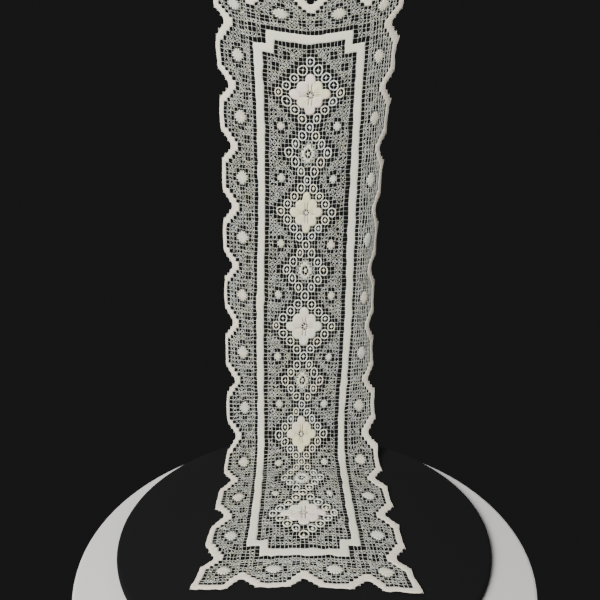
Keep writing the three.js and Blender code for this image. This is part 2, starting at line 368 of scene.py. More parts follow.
def chart():
    """The working chart: for each mesh of the net, whether it is inside the outline, in the frame band, in
    the worked edge, in either of these and so solid, or filled with loop stitch. Others are open or covered
    by a motif."""
    cell, row = np.meshgrid(*mesh_middles(), indexing="ij")
    across, along = np.abs(cell), np.abs(row)
    out_side = across - PANEL_CELLS + 0.5
    out_end = along - PANEL_ROWS + 0.5
    from_side = along_scallop(row, PANEL_ROWS)
    from_end = along_scallop(cell, PANEL_CELLS)
    border = (out_side > 0) | (out_end > 0)
    inside = ~border | ((out_side <= crest_height(from_side)) & (out_end <= crest_height(from_end)))
    side_open, end_open = opening_height(from_side), opening_height(from_end)
    edge = inside & border & ((out_side > side_open) | (out_end > end_open))
    edge_line = inside & border & ~edge & ((out_side == side_open) | (out_end == end_open))

    def stepped_box(half_cells, half_rows):
        """True inside a box with a square of NOTCH meshes cut out of each corner."""
        notch = (across > half_cells - NOTCH) & (along > half_rows - NOTCH)
        return (across < half_cells) & (along < half_rows) & ~notch

    outer = stepped_box(PANEL_CELLS, PANEL_ROWS)
    inner = stepped_box(PANEL_CELLS - 2, PANEL_ROWS - 2)
    band = outer & ~inner
    band_lines = (inner & ~stepped_box(PANEL_CELLS - 3, PANEL_ROWS - 3)) | (
        stepped_box(PANEL_CELLS + 1, PANEL_ROWS + 1) & ~outer
    )
    reach = np.full(cell.shape, -float(HALF_ROWS))
    for middles, size in ((FLOWER_ROWS, FLOWER_REACH), (MEDALLION_ROWS, MEDALLION_REACH)):
        for middle in middles:
            reach = np.maximum(reach, size - np.abs(row - middle))
    lattice = inner & (across <= reach + LATTICE_WIDTH)
    opened = edge_line | band_lines | lattice
    covered = np.zeros(cell.shape, bool)
    for star in BORDER_STARS:
        covered |= near(cell, row, star, ((0.5, 0.5), (1.5, 0.5), (0.5, 1.5)))
        opened |= near(cell, row, star, ((0.5, 2.5), (1.5, 1.5), (2.5, 0.5)))
    for star in SMALL_STARS:
        covered |= near(cell, row, star, ((0.5, 0.5),))
        opened |= near(cell, row, star, ((0.5, 1.5), (1.5, 0.5)))
    for cluster in open_clusters():
        opened |= near(cell, row, cluster, ((0.5, 0.5),))
    loops = inside & ~edge & ~band & ~opened & ~covered
    for middle in MEDALLION_ROWS:
        loops |= near(cell, row, (0, middle), ((0.5, 2.5), (2.5, 0.5)))
    return {"inside": inside, "band": band, "edge": edge, "solid": band | edge, "loops": loops}


def open_clusters():
    """Middle knots of the groups of four open meshes that dot the loop filling."""
    places = four_ways(0, ((9, 62), (6, 65), (2, 73), (17, 67), (17, 70), (14, 70), (14, 73), (11, 73)))
    for valley in range(-56, 57, SCALLOP):
        places |= four_ways(valley, ((17, 2),))
    return places


CHART = chart()


def quarters(mask):
    """For each knot of a net of meshes, what the mask says of the four meshes round it, in order of their
    angle from + cell towards + row. Outside the net it is false."""
    padded = np.pad(mask, 1)
    return np.stack([padded[1:, 1:], padded[:-1, 1:], padded[:-1, :-1], padded[1:, :-1]], -1)


def loop_quarters():
    """For each knot, whether each of its four quarters lies in a mesh filled with loop stitch."""
    return quarters(CHART["loops"])


def jitter_table():
    """A random offset for each knot, in cells across and rows along, a little blended with its neighbours,
    and larger where all four meshes round the knot are filled, and along the rows that lie."""
    draw = np.random.default_rng(31).normal(0, KNOT_JITTER, (2 * HALF_CELLS + 5, 2 * HALF_ROWS + 5, 2))
    moved = draw.copy()
    beside = draw[:-2, 1:-1] + draw[2:, 1:-1] + draw[1:-1, :-2] + draw[1:-1, 2:]
    moved[1:-1, 1:-1] += FOLLOWING * beside
    filled = np.pad(loop_quarters().all(-1), 2)
    moved = moved * np.where(filled, LOOSER_IN_FILLING, 1)[..., None]
    moved[..., 1] *= 1 + LOOSER_LYING * lying(np.arange(moved.shape[1]) - HALF_ROWS - 2)
    return moved


JITTER = jitter_table()

# Shares of painted shade by which thread is darker: on the right side, as the light falls from the left;
# where a lone strand lets light through; more of that in the panel's open lattice, whose strands are deeper
# than real thread; and on a strand under loop stitch, which lies in the loops' shade.
RIGHT_PAINTED_SHADE = 0.12
STRAND_PAINTED_SHADE = 0.08
LATTICE_PAINTED_SHADE = 0.36
BURIED_PAINTED_SHADE = 0.12
BURIED_THINNER = 0.3  # share by which a strand under loop stitch is thinner
ROLLED_THINNER, ROLLED_SHALLOWER = 0.3, 0.55  # and any strand where the border is rolled back
LYING_WIDER = (-0.35, 0.1)  # share by which the strands across and those along are wider where they lie
HANGING_DEPTH = (1, 0.94)  # share of the strand depth that those two have where they hang
LYING_SHALLOWER = (0.8, 0.45)  # and how much of that share goes where they lie
OVER = 0.15  # millimetres that the strands along lie over the middle surface, and those across under it
KNOT_HEIGHT = 0.75  # share of a knot's half width that its tips stand out
FILLING_MIDDLE_ROWS = 27  # rows each way from the middle that the middle part of the filling covers
LOOP_RADIUS = 0.45  # cells from a knot to its ring of thread, on average
LOOP_REACH = 0.05  # and more by this where the ring meets the bars
CLOTH_PARTS = 3  # squares across a mesh of cloth stitch
WEAVE_RELIEF = 0.12  # millimetres that the cloth stitch's squares rise and sink
OUTLINE_ROUNDS = 7  # rounds of easing on the runner's own outline
FLOWER_COVERS = 2.9  # cells from a flower's middle within which the net is hidden
MEDALLION_OPENING = 0.95
FLOWER_OPENING = 0.8
# The thread of each flower: its tone in the middle, how much that rises from side to side, and how much
# painted shade darkens it, more down the hanging cloth where less light falls.
FLOWER_THREADS = ((0.8, 0.2, 0), (1.0, 0, 0.03), (0.35, 0, 0.06), (1.0, 0, 0.12), (0.55, 0.15, 0.02))
PETAL_REACH = 5.25  # cells
PETAL_HALF_WIDTH = 1.3
SHORT_PETAL_AT = 2.0  # cells across and along from a flower's middle to that of a short petal's round end
SHORT_PETAL_SIZE = 1.4
PETAL_CROWN = 0.75  # how far a petal falls to its slits
PETAL_SLIT_DEPTH = 0.75  # share of its height that a slit cuts
SLIT_START = 0.40  # cells from a long petal's middle line to the slit beside it, near the flower's middle
SLIT_SWING = 0.95  # and how much farther off it ends
SLIT_WIDTH, SEAM_WIDTH = 0.10, 0.09
SIDE_SLIT, SIDE_SEAM = 0.45, 0.9  # how strong the slits and seams of the side petals are
FLOWER_UNDERSIDE = -0.7  # millimetres from the cloth's middle surface
LYING_FLOWER = (0.12, -0.08)  # shares by which the lying flower is wider and shorter
BUTTON_SIDES = 10
BUTTON_TURNS = (-0.6, 0.0, 0.55, 1.1)  # the turn of each ring of a button, in radians up from its widest
# A star's rings: the share of its reach, plus a share of its opening, and the shares of its height and slit
# depth.
STAR_RINGS = (
    (0, 1, 1, 0),
    (0.45, 0.5, 0.98, 0.6),
    (0.8, 0, 0.85, 1),
    (1, 0, 0.1, 0.7),
    (0.8, 0, -0.4, 0),
    (0, 1, -0.4, 0),
)
STAR_CAPPED_BELOW = 0.2
STAR_NOTCH = 0.27  # share of the reach
STAR_SLIT = (0.2, 0.75)  # how deep slits are cut, and how much painted shade darkens them, on open and on capped stars
STAR_SLIT_DEPTH = 0.45  # millimetres

# ---- mesh helpers ----


def full_turn(count):
    """Angles of points evenly round a circle, from 0."""
    return 2 * math.pi * np.arange(count) / count


def circle(count):
    """Cosine and sine of a full turn, a row for each point."""
    return np.stack([np.cos(full_turn(count)), np.sin(full_turn(count))], 1)


def around(middles, out, angle, stretch=(1, 1)):
    """Net coordinates round each middle: the distance out times the angle's cosine and sine, each way
    stretched."""
    cell = middles[:, 0][:, None, None] + stretch[0] * out * np.cos(angle)
    return cell, middles[:, 1][:, None, None] + stretch[1] * out * np.sin(angle)


def each(values, shape):
    """One number, or one for each item, spread over an array whose first way is the items."""
    return np.broadcast_to(np.reshape(values, (-1, *[1] * (len(shape) - 1))), shape)


def wrapped_grid(count, first, second, wrap_first, wrap_second, keep=None):
    """Faces and texture corners of count grids of first by second points, numbered in that order. A wrapped
    way joins its last point to its first. keep is true for the steps along the first way that get faces."""
    steps = (count, first - (not wrap_first), second - (not wrap_second))
    n, i, j = np.meshgrid(*(np.arange(step) for step in steps), indexing="ij")
    if keep is not None:
        n, i, j = (part[keep] for part in (n, i, j))
    n, i, j = n.ravel(), i.ravel(), j.ravel()
    ways = ((0, 0), (0, 1), (1, 1), (1, 0))
    faces = [(n * first + (i + a) % first) * second + (j + b) % second for a, b in ways]
    corners = [np.stack([i + a, j + b], 1) for a, b in ways]
    return np.stack(faces, 1), np.stack(corners, 1).astype(float)


def end_caps(count, rings, sides, turn):
    """Faces and texture corners that close the first and last rings of count grids of rings by sides points.
    The first ring's face runs forwards where turn is 1 and backwards where it is -1, and the last one's the
    other way."""
    base = (np.arange(count) * rings * sides)[:, None]
    order = np.arange(sides)[::turn]
    caps = np.concatenate([base + order, base + (rings - 1) * sides + order[::-1]])
    return caps, np.broadcast_to(circle(sides), (*caps.shape, 2))


class Shape:
    """Points, each with a tone and an amount of painted shade, and faces of any width, with texture corners
    and a material number."""

    def __init__(self):
        self.points, self.tones, self.painted_shades = [], [], []
        self.faces, self.corners, self.slots, self.total = [], [], [], 0

    def add(self, points, parts, tone=0.5, slot=0, hollow=0.0):
        """Adds points of any leading shape, and parts: pairs of face numbers and texture corners. hollow
        is how much painted shade darkens each point, from 0 to 1."""
        for values, kept in ((tone, self.tones), (hollow, self.painted_shades)):
            kept.append(np.ravel(values if np.ndim(values) > 1 else each(values, points.shape[:-1])))
        points = points.reshape(-1, 3)
        self.points.append(points)
        for faces, corners in parts:
            self.faces.append(faces + self.total)
            self.corners.append(corners)
            self.slots.append(np.full(len(faces), slot))
        self.total += len(points)

    def build(self, name, materials, shade_smooth=True):
        """Makes the object: unused points are dropped, faces written as flat arrays, and the texture map
        filled."""
        points = np.concatenate(self.points)
        loops = np.concatenate([faces.ravel() for faces in self.faces])
        sizes = np.concatenate([np.full(len(faces), faces.shape[1]) for faces in self.faces])
        corners = np.concatenate([part.reshape(-1, 2) for part in self.corners])
        used = np.zeros(len(points), bool)
        used[loops] = True
        number = np.cumsum(used) - 1
        mesh = bpy.data.meshes.new(name)
        mesh.vertices.add(int(used.sum()))
        mesh.vertices.foreach_set("co", points[used].astype(np.float32).ravel())
        mesh.loops.add(len(loops))
        mesh.loops.foreach_set("vertex_index", number[loops].astype(np.int32))
        mesh.polygons.add(len(sizes))
        mesh.polygons.foreach_set("loop_start", np.concatenate([[0], np.cumsum(sizes)[:-1]]).astype(np.int32))
        mesh.polygons.foreach_set("use_smooth", np.full(len(sizes), shade_smooth))
        mesh.polygons.foreach_set("material_index", np.concatenate(self.slots).astype(np.int32))
        mesh.uv_layers.new(name="threads").data.foreach_set("uv", corners.astype(np.float32).ravel())
        for attribute, kept in (("tone", self.tones), ("hollow", self.painted_shades)):
            values = np.concatenate(kept)[used].astype(np.float32)
            mesh.attributes.new(attribute, "FLOAT", "POINT").data.foreach_set("value", values)
        mesh.update(calc_edges=True)
        mesh.validate()
        for material in materials:
            mesh.materials.append(material)
        piece = bpy.data.objects.new(name, mesh)
        bpy.context.scene.collection.objects.link(piece)
        return piece


def add_tubes(
    shape, lines, half_width, half_height, sides, closed, keep=None, tone=0.5, length=1.0, ridges=2, tube_painted_shade=0.0
):
    """Adds tubes along lines, which are points and normals, both (tubes, steps, 3). Round each point goes an
    ellipse: half_width along the direction across the line in the cloth, half_height along the normal. keep
    is true for the steps that have thread, and each end of a run is capped. The texture runs length a step,
    and ridges once round. tone is one value for each tube, and tube_painted_shade, how much painted shade
    darkens the thread, one for each tube or point."""
    points, normals = lines
    count, steps = points.shape[:2]
    if closed:
        tangent = np.roll(points, -1, 1) - np.roll(points, 1, 1)
    else:
        tangent = np.gradient(points, axis=1)
    across = np.cross(normals, tangent)
    across = across / np.maximum(np.linalg.norm(across, axis=-1, keepdims=True), 1e-12)
    halves = zip((half_width, half_height), circle(sides).T)
    ellipse = [np.broadcast_to(half, (count, steps))[..., None, None] * way[:, None] for half, way in halves]
    rings = points[:, :, None] + across[:, :, None] * ellipse[0] * MM + normals[:, :, None] * ellipse[1] * MM
    if keep is None:
        keep = np.ones((count, steps if closed else steps - 1), bool)
    faces, corners = wrapped_grid(count, steps, sides, closed, True, keep)
    parts = [(faces, corners * (length, ridges / sides))]
    if closed:
        before, after = np.roll(keep, 1, 1), keep
    else:
        before, after = np.pad(keep, ((0, 0), (1, 0))), np.pad(keep, ((0, 0), (0, 1)))
    ring = np.arange(sides)
    for ends, order in ((after & ~before, ring[::-1]), (before & ~after, ring)):
        n, i = np.nonzero(ends)
        cap = (n * steps + i)[:, None] * sides + order[None]
        parts.append((cap, np.broadcast_to(circle(sides) / 4, (*cap.shape, 2))))
    tube_painted_shade = tube_painted_shade if np.ndim(tube_painted_shade) == 2 else each(tube_painted_shade, (count, steps))
    shape.add(rings, parts, tone, hollow=np.broadcast_to(tube_painted_shade[..., None], rings.shape[:-1]))


def add_buttons(shape, middles, radius, height, tone, lift=0.2):
    """Adds crowned buttons: rings whose radius falls and height rises as the cosine and sine of BUTTON_TURNS.
    radius, in cells, and height, in millimetres, may each be one number or one for each middle."""
    turns, sides = np.array(BUTTON_TURNS)[:, None], BUTTON_SIDES
    cell, row = around(middles, np.reshape(radius, (-1, 1, 1)) * np.cos(turns), full_turn(sides))
    high = np.reshape(height, (-1, 1, 1)) * np.sin(turns) + lift
    points, _ = place(cell, row, np.broadcast_to(high, cell.shape))
    faces, corners = wrapped_grid(len(middles), len(turns), sides, False, True)
    caps = end_caps(len(middles), len(turns), sides, 1)
    shape.add(points, [(faces[:, ::-1], corners[:, ::-1] * (0.3, 0.5)), caps], tone)


def add_spokes(shape, middles, spokes, start, end, half_width, lift=0.4):
    """Adds straight bars like a wheel's spokes, from start to end cells out from each middle."""
    steps = 3
    angle = full_turn(spokes) + math.pi / spokes
    cell, row = around(middles, np.linspace(start, end, steps), angle[:, None])
    bars = [part.reshape(-1, steps, 3) for part in place(cell, row, lift)]
    add_tubes(shape, bars, half_width, half_width, sides=5, closed=False, length=0.3)


def add_rings(shape, middles, radius, half_width, half_height, steps, lift, tone, ridges=5):
    """Adds closed rims round each middle: circles of the given radius in cells, one number or one for
    each."""
    cell, row = around(middles, np.reshape(radius, (-1, 1, 1)), full_turn(steps))
    rims = place(cell[:, 0], row[:, 0], lift)
    length = 2 * math.pi * np.mean(radius) / steps
    add_tubes(
        shape, rims, half_width, half_height, sides=6, closed=True, tone=tone, length=length, ridges=ridges
    )


def add_rosettes(shape, middles, reach, between, points_round, height, tone, opening=0.1):
    """Adds full stars darned round each middle: the rings of STAR_RINGS, from the opening, a share of the
    reach, out to the rim and back underneath. The rim lies at reach, in cells and rows, on the two axes and
    between times as far at 45 degrees, by a cosine of four times the angle. Notches, points_round of them,
    cut the rim and run inwards as slits. A small opening is capped, a wide one is left open and round, with a
    wall. Reach may differ by star."""
    capped = opening < STAR_CAPPED_BELOW
    sides = 4 * points_round
    angle = full_turn(sides)
    notch = 0.5 + 0.5 * np.cos(points_round * angle)
    fixed_out, opening_share, high, deep = (np.array(column)[:, None] for column in zip(*STAR_RINGS))
    out = fixed_out + opening_share * opening
    rim = 1 + (between - 1) * (0.5 - 0.5 * np.cos(4 * angle))
    rim = rim - STAR_NOTCH * notch**1.5 * (1 if capped else np.clip(2 * out - 1, 0, 1))
    # Slits are cut in and darkened with painted shade.
    slit = deep * notch**2 * STAR_SLIT[capped]
    cell, row = around(middles, out * rim, angle, [np.reshape(way, (-1, 1, 1)) for way in reach])
    points, _ = place(cell, row, np.broadcast_to(high * height - STAR_SLIT_DEPTH * slit, cell.shape))
    faces, corners = wrapped_grid(len(middles), len(out), sides, not capped, True)
    parts = [(faces, corners * (1.0, 1.3))]
    if capped:
        parts.append(end_caps(len(middles), len(out), sides, -1))
    shape.add(points, parts, tone, hollow=np.broadcast_to(slit, cell.shape))


# ---- threads, knots and cloth stitch ----


def net_strands(lines_along):
    """Net coordinates of all the strands one way, (strands, knots), and where a strand has thread: at the
    sides of meshes inside the outline, but not where it is buried in cloth stitch or cut away in the middle
    of a motif."""
    cells = np.arange(-HALF_CELLS, HALF_CELLS + 1.0)
    rows = np.arange(-HALF_ROWS, HALF_ROWS + 1.0)
    tables = [*np.meshgrid(cells, rows, indexing="ij"), np.pad(CHART["inside"], 1), np.pad(CHART["solid"], 1)]
    cell, row, inside, solid = tables if lines_along else [table.T for table in tables]
    keep = (inside[:-1, 1:-1] | inside[1:, 1:-1]) & ~(solid[:-1, 1:-1] & solid[1:, 1:-1])
    middle_cell, middle_row = ((knots[:, 1:] + knots[:, :-1]) / 2 for knots in (cell, row))
    return cell, row, keep & ~cut_away(middle_cell, middle_row)


def cut_away(cell, row):
    """True where the net doesn't show: under the raised flowers, and in the open middles of the
    medallions."""
    gone = np.zeros(np.shape(cell), bool)
    for middles, size in ((FLOWER_ROWS, FLOWER_COVERS), (MEDALLION_ROWS, MEDALLION_OPENING)):
        for middle in middles:
            gone |= np.hypot(cell, row - middle) < size
    return gone


def knot_places():
    """Knots that show: those with a mesh inside the outline, less those buried in cloth stitch on all
    sides."""
    i, j = np.nonzero(quarters(CHART["inside"]).any(-1) & ~quarters(CHART["solid"]).all(-1))
    cell, row = i - float(HALF_CELLS), j - float(HALF_ROWS)
    shown = ~cut_away(cell, row)
    return cell[shown], row[shown]


def eased(values, rounds):
    """A closed line of values, each moved halfway to the mean of its two neighbours, a few times over."""
    for _ in range(rounds):
        values = values / 2 + (np.roll(values, 1) + np.roll(values, -1)) / 4
    return values


def soften(cell, row, edges, rounds):
    """Rounds the steps of an outline: each point on the given edges moves halfway to the mean of its
    neighbours, a few times over. edges are pairs of point numbers. Returns which points are on them."""
    both = np.concatenate([edges, edges[:, ::-1]])
    degree = np.bincount(both[:, 0], minlength=len(cell))
    moved = degree > 0
    for _ in range(rounds):
        for values in (cell, row):
            total = np.bincount(both[:, 0], weights=values[both[:, 1]], minlength=len(cell))
            values[moved] = (values[moved] + total[moved] / degree[moved]) / 2
    return moved


def finely(mask):
    """A mask of meshes, each cut in CLOTH_PARTS by CLOTH_PARTS."""
    return np.repeat(np.repeat(mask, CLOTH_PARTS, 0), CLOTH_PARTS, 1)


def stitched_cells(shape, mask, thickness, rounds, outer_rounds=0, tone=0.5, slot=0):
    """Adds cloth stitch over the meshes where mask is true: each mesh is cut in CLOTH_PARTS by CLOTH_PARTS
    squares, the boundary's steps are rounded, those on the runner's own outline more, and front and back
    swell over and under like a plain weave, thin at the rim."""
    fine = finely(mask)
    padded = np.pad(fine, 1)
    ni, nj = fine.shape[0] + 1, fine.shape[1] + 1
    i, j = np.nonzero(fine)
    number = np.arange(ni * nj).reshape(ni, nj)
    quads = np.stack([number[i, j], number[i + 1, j], number[i + 1, j + 1], number[i, j + 1]], 1)
    sides = ((-1, 0, (3, 0)), (1, 0, (1, 2)), (0, -1, (0, 1)), (0, 1, (2, 3)))
    walls = np.concatenate([quads[~padded[i + 1 + di, j + 1 + dj]][:, ends] for di, dj, ends in sides])
    gi, gj = np.meshgrid(np.arange(ni, dtype=float), np.arange(nj, dtype=float), indexing="ij")
    cell, row = (gi / CLOTH_PARTS - HALF_CELLS).ravel(), (gj / CLOTH_PARTS - HALF_ROWS).ravel()
    rim = soften(cell, row, walls, rounds)
    touches = ~quarters(finely(CHART["inside"])).all(-1)
    soften(cell, row, walls[touches.ravel()[walls].all(1)], outer_rounds)
    weave = np.where(rim, 0, np.where((gi + gj).ravel() % 2 > 0, 1.0, -1.0) * WEAVE_RELIEF)
    half = np.where(rim, 0.3, 0.5) * thickness
    top, _ = place(cell, row, half + weave)
    under, _ = place(cell, row, weave - half)
    flat = np.stack([gi.ravel(), gj.ravel()], 1)
    both = np.concatenate([flat, flat])
    total = ni * nj
    wall_faces = np.stack([walls[:, 0], walls[:, 1], walls[:, 1] + total, walls[:, 0] + total], 1)
    parts = [(faces, both[faces]) for faces in (quads[:, ::-1], quads + total, wall_faces)]
    # Painted shade on the cloth stitch, darker towards the right side.
    painted_shade_here = painted_shade_at_right(np.concatenate([cell, cell]))
    shape.add(np.concatenate([top, under]), parts, tone, slot, painted_shade_here)


def outline_path(rounds):
    """The runner's own outline as one closed line in net coordinates, stepping mesh by mesh round the four
    sides, with a point each third of a cell and its steps rounded in the same way as the cloth stitch's."""
    cells, rows = mesh_middles()
    side_cell = np.repeat(PANEL_CELLS + crest_height(along_scallop(rows, PANEL_ROWS)), 2)
    end_row = np.repeat(PANEL_ROWS + crest_height(along_scallop(cells, PANEL_CELLS)), 2)
    end_cell, side_row = (np.stack([count - 0.5, count + 0.5], 1).ravel() for count in (cells, rows))
    cell = np.concatenate([side_cell, end_cell[::-1], -side_cell[::-1], end_cell])
    row = np.concatenate([side_row, end_row[::-1], side_row[::-1], -end_row])
    walked = np.abs(np.diff(cell, append=cell[:1])) + np.abs(np.diff(row, append=row[:1]))
    run = np.concatenate([[0], np.cumsum(walked)])
    at = np.arange(0, run[-1] - 0.1 / CLOTH_PARTS, 1 / CLOTH_PARTS)
    return [eased(np.interp(at, run, np.append(way, way[0])), rounds) for way in (cell, row)]


# ---- materials ----


class Paint:
    """A new material, its nodes and links, and its shader."""

    def __init__(self, name):
        self.material = bpy.data.materials.new(name)
        self.material.use_nodes = True
        self.tree = self.material.node_tree
        self.shader = self.tree.nodes["Principled BSDF"]

    def fill(self, node, values):
        """Sets a node's inputs by name or number: another node's output is linked, all else is the input's
        value."""
        for name, value in values.items():
            if isinstance(value, bpy.types.NodeSocket):
                self.tree.links.new(value, node.inputs[name])
            else:
                node.inputs[name].default_value = value

    def add(self, kind, output, values=None, **settings):
        """Makes a node with its settings and inputs, and gives its output of that name."""
        node = self.tree.nodes.new("ShaderNode" + kind)
        for name, value in settings.items():
            setattr(node, name, value)
        self.fill(node, values or {})
        return node.outputs[output]

    def scaled(self, value, factor, plus):
        """value times factor, plus a number or another value."""
        return self.add("Math", "Value", {0: value, 1: factor, 2: plus}, operation="MULTIPLY_ADD")

    def stripes(self, vector, direction, scale=(1, 1, 1), turn=0.0, distortion=0.0):
        """Rounded ridges one unit apart along one way of the scaled and turned vector, with gaps at whole
        numbers."""
        mapped = self.add("Mapping", "Vector", {"Vector": vector, "Rotation": (0, 0, turn), "Scale": scale})
        values = {"Vector": mapped, "Scale": math.pi / 10, "Distortion": distortion, "Detail": 1.0}
        return self.add("TexWave", "Fac", values, wave_type="BANDS", bands_direction=direction)


def cotton(kind):
    """Matt cotton, made once for each kind of relief: its tint drifts from cool white over ivory and rose to
    straw with the tone attribute and soft clouds. It is darkened by painted shade in the gaps between threads
    and by the painted shade attribute, with fine fibre fuzz and a bump that follows the thread."""
    name = "cotton_" + kind
    if name in bpy.data.materials:
        return bpy.data.materials[name]
    look = bpy.context.scene.lace_look
    paint = Paint(name)
    solid = paint.add("TexCoord", "Object")
    clouds = paint.add("TexNoise", "Fac", {"Vector": solid, "Scale": 14.0, "Detail": 5.0, "Roughness": 0.65})
    tone = paint.scaled(paint.add("Attribute", "Fac", attribute_name="tone"), 0.8, -0.2)
    tint = paint.add("ValToRGB", "Color", {"Fac": paint.scaled(clouds, 0.6, tone)})
    stops = tint.node.color_ramp.elements
    for stop, position, colour in ((stops[0], 0.1, look.cool), (stops[1], 0.9, look.straw)):
        stop.position = position
        stop.color = (*colour, 1)
    for position, colour in ((0.4, look.ivory), (0.65, look.rose)):
        stops.new(position).color = (*colour, 1)

    relief = RELIEFS[kind](paint, paint.add("UVMap", "UV", uv_map="threads"))
    # Painted shade: darker in the gaps between threads by the relief, and by the painted shade attribute.
    gaps = paint.add("MapRange", "Result", {"Value": relief, "To Min": 1 - look.gap_shade, "To Max": 1.0})
    hollow = paint.add("Attribute", "Fac", attribute_name="hollow")
    values = {0: gaps, 1: paint.scaled(hollow, -look.painted_shade_strength, 1.0)}
    values = {"Factor": 1.0, "A": tint, "B": paint.add("Math", "Value", values, operation="MULTIPLY")}
    shaded = paint.add("Mix", "Result", values, data_type="RGBA", blend_type="MULTIPLY")

    fuzz = paint.add("TexNoise", "Fac", {"Vector": solid, "Scale": 2200.0, "Detail": 2.0})
    values = {"Height": paint.scaled(fuzz, 0.35, relief), "Strength": 0.7, "Distance": look.relief}
    bump = paint.add("Bump", "Normal", values)
    paint.fill(paint.shader, {"Base Color": shaded, "Normal": bump, "Roughness": look.roughness})
    paint.fill(paint.shader, {"Sheen Weight": look.sheen, "Sheen Roughness": 0.5, "Specular IOR Level": 0.25})
    return paint.material


def ply_relief(paint, uv):
    """Slanting ridges round a tube, the plies of the twisted thread: 2.4 turns a cell along, less one a ply
    round."""
    slant = math.sqrt(2)
    return paint.stripes(uv, "X", (2.4 * slant, slant, 1), math.radians(45))


def cord_relief(paint, uv):
    """Ridges straight across a cord: stitches laid side by side over it, five to a cell."""
    return paint.stripes(uv, "X", (5, 1, 1), distortion=0.5)


def satin_relief(paint, uv):
    """Ridges along a petal or a rim, where thread lies beside thread."""
    return paint.stripes(uv, "Y", distortion=0.5)


def weave_relief(paint, uv):
    """Plain weave, four threads to a mesh each way: on the squares of a chequer the ridges along are on top,
    on the others the ridges across."""
    scale = (4 / CLOTH_PARTS, 4 / CLOTH_PARTS, 1)
    mapped = paint.add("Mapping", "Vector", {"Vector": uv, "Scale": scale, "Location": (0, 0, 0.5)})
    chequer = paint.add("TexChecker", "Fac", {"Vector": mapped, "Scale": 1.0})
    along, across = (paint.stripes(uv, way, scale, distortion=0.3) for way in "XY")
    return paint.add("Mix", "Result", {"Factor": chequer, "A": along, "B": across})


RELIEFS = {"ply": ply_relief, "weave": weave_relief, "satin": satin_relief, "buttonhole": cord_relief}


def finish_piece(shape, name, *kinds):
    """Makes the piece, of cotton of those kinds. It rides on the runner's body, stands for its solid and
    takes its finish from the thread slot."""
    piece = shape.build(name, [cotton(kind) for kind in kinds])
    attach(piece, BODY)
    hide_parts(NODE)
    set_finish(piece, SLOT)


# ---- what a user can change ----


class LaceNet(PropertyGroup):
    """Thread sizes of the net, its fillings and its cloth stitch, in millimetres. The strands are far deeper
    than round thread: a sheet's surface is measured against its cut area, and an open net of round thread
    falls short of that."""

    strand: FloatProperty(
        name="Strand", description="Half width of a strand of the net", default=0.25, min=0.2, max=1.5
    )
    strand_depth: FloatProperty(
        name="Strand depth",
        description="Half thickness of a strand, through the cloth",
        default=1.2,
        min=0.2,
        max=1.5,
    )
    knot: FloatProperty(name="Knot", description="Half width of a knot", default=0.9, min=0.5, max=3)
    loop: FloatProperty(
        name="Loop thread",
        description="Half thickness of the loop stitch's thread",
        default=0.25,
        min=0.1,
        max=1,
    )
    cloth: FloatProperty(
        name="Cloth stitch", description="Thickness of solid stitching", default=1.9, min=0.5, max=4
    )


class LaceMotifs(PropertyGroup):
    """Sizes of the wheels, flowers and edge, in millimetres and in cells of the net."""

    wheel: FloatProperty(
        name="Wheel", description="Radius of a wheel, in cells", default=1.08, min=0.5, max=1.3
    )
    wheel_thread: FloatProperty(
        name="Wheel rim", description="Half width of a wheel's rim", default=1.0, min=0.3, max=2
    )
    petal_height: FloatProperty(
        name="Petal height",
        description="How far a flower's petals stand off the net",
        default=2.2,
        min=0.5,
        max=4,
    )
    edge: FloatProperty(
        name="Edge cord", description="Half width of the edge cord", default=0.7, min=0.3, max=2
    )


class LaceLook(PropertyGroup):
    """Colours and finish of the cotton."""

    cool: FloatVectorProperty(
        name="Cool white",
        description="The cotton's coolest tint",
        subtype="COLOR",
        default=(0.76, 0.785, 0.725),
    )
    ivory: FloatVectorProperty(
        name="Ivory", description="The cotton's usual tint", subtype="COLOR", default=(0.80, 0.775, 0.58)
    )
    rose: FloatVectorProperty(
        name="Rose cream",
        description="A pinker tint of the cotton",
        subtype="COLOR",
        default=(0.85, 0.715, 0.625),
    )
    straw: FloatVectorProperty(
        name="Straw", description="A yellower tint of the cotton", subtype="COLOR", default=(0.81, 0.78, 0.48)
    )
    roughness: FloatProperty(name="Roughness", description="Roughness of cotton", default=0.85, min=0, max=1)
    sheen: FloatProperty(
        name="Sheen", description="Soft fuzz seen against the light", default=0.25, min=0, max=1
    )
    gap_shade: FloatProperty(
        name="Gap shade",
        description="How much darker the gaps between threads are",
        default=0.3,
        min=0,
        max=1,
    )
    # How strongly the painted shade attribute darkens the thread: in slits and seams, on strands and loops,
    # and at the right.
    painted_shade_strength: FloatProperty(
        name="Slit shade",
        description="How much darker the slits between petals are",
        default=0.75,
        min=0,
        max=1,
    )
    relief: FloatProperty(
        name="Relief",
        description="Depth of the thread's own bumps",
        default=0.0003,
        unit="LENGTH",
        precision=5,
    )


class LaceStage(PropertyGroup):
    """Sizes and colours of the floor and the board, and the strength of the lights."""

    floor_radius: FloatProperty(name="Floor", description="Radius of the floor", default=0.315, unit="LENGTH")
    floor_colour: FloatVectorProperty(
        name="Floor colour", description="Pale and plain", subtype="COLOR", default=(0.5, 0.49, 0.475)
    )
    board_radius: FloatProperty(
        name="Board", description="Radius of the board under the lying end", default=0.27, unit="LENGTH"
    )
    board_colour: FloatVectorProperty(
        name="Board colour",
        description="Dark, so that white net shows",
        subtype="COLOR",
        default=(0.005, 0.005, 0.0055),
    )
    key_power: FloatProperty(
        name="Key light", description="Watts of the soft front light", default=136, min=0
    )
    fill_power: FloatProperty(name="Fill light", description="Watts of the side light", default=4, min=0)
    back_power: FloatProperty(name="Back light", description="Watts of each light behind", default=10, min=0)
    backdrop: FloatProperty(
        name="Surround", description="Brightness of the surround", default=0.012, min=0, max=1
    )


# ---- pieces ----


